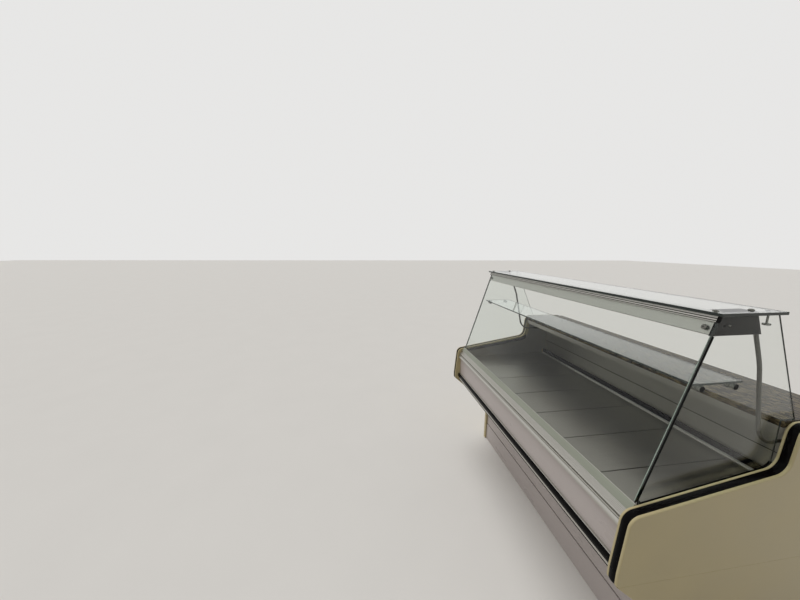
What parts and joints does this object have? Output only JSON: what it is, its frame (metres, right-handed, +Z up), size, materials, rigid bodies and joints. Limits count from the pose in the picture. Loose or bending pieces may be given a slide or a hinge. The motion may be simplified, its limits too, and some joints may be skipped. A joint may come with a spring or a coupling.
{
  "type": "refrigerated serve-over display counter",
  "caption": "Refrigerated serve-over display counter with sloping front glass, flat glass top, glass shelf, moulded end panels and stone worktop.",
  "frame": {"origin": "centre of the overall box on the floor, midway between the two end panels", "axes": "+X along the counter, to the customer's right; +Y from the customer's side to the server's side; +Z up"},
  "size_m": [1.4, 0.792, 1.264],
  "materials": {
    "moulded_shell": "smooth cream moulding",
    "black_trim": "glossy black edging",
    "white_panel": "satin off-white coating",
    "anodised_aluminium": "satin anodised",
    "steel_sheet": "dark dull stainless sheet",
    "black_plastic": "matt black moulding",
    "granite": "polished brown-grey speckled stone",
    "clear_glass": "clear, with dark green edges",
    "top_glass": "clear, with dark green edges",
    "dark_bracket": "dark grey coating",
    "grey_tube": "satin grey coating",
    "bolt_metal": "polished bolts and clamps"
  },
  "bodies": {
    "root": {"end_panel_left": "moulded_shell", "end_panel_right": "moulded_shell", "side_base_left": "moulded_shell", "side_base_right": "moulded_shell", "edge_trim_left": "black_trim", "edge_trim_right": "black_trim", "bumper_strip": "black_trim", "glass_seat_left": "black_trim", "glass_seat_right": "black_trim", "kick_plate": "white_panel", "lower_front_panel": "white_panel", "front_panel": "white_panel", "rear_panel": "white_panel", "rear_grille": "white_panel", "bumper_rail": "anodised_aluminium", "glass_profile": "anodised_aluminium", "canopy_beam": "anodised_aluminium", "duct_profile": "anodised_aluminium", "cold_well": "steel_sheet", "back_wall": "steel_sheet", "worktop_rail": "steel_sheet", "base_tray": "steel_sheet", "display_pan_1": "steel_sheet", "display_pan_2": "steel_sheet", "display_pan_3": "steel_sheet", "display_pan_4": "steel_sheet", "display_pan_5": "steel_sheet", "display_pan_6": "steel_sheet", "display_pan_7": "steel_sheet", "air_duct_grille": "black_plastic", "control_box": "black_plastic", "worktop": "granite", "front_glass": "clear_glass", "end_glass_left": "clear_glass", "end_glass_right": "clear_glass", "shelf_glass": "clear_glass", "top_glass": "top_glass", "canopy_bracket_left": "dark_bracket", "canopy_bracket_right": "dark_bracket", "canopy_post_left": "grey_tube", "canopy_post_right": "grey_tube", "canopy_bolts_left": "bolt_metal", "canopy_bolts_right": "bolt_metal", "corner_clamp_left": "bolt_metal", "corner_clamp_right": "bolt_metal", "shelf_clamps_left": "bolt_metal", "shelf_clamps_right": "bolt_metal"}
  },
  "joints": []
}
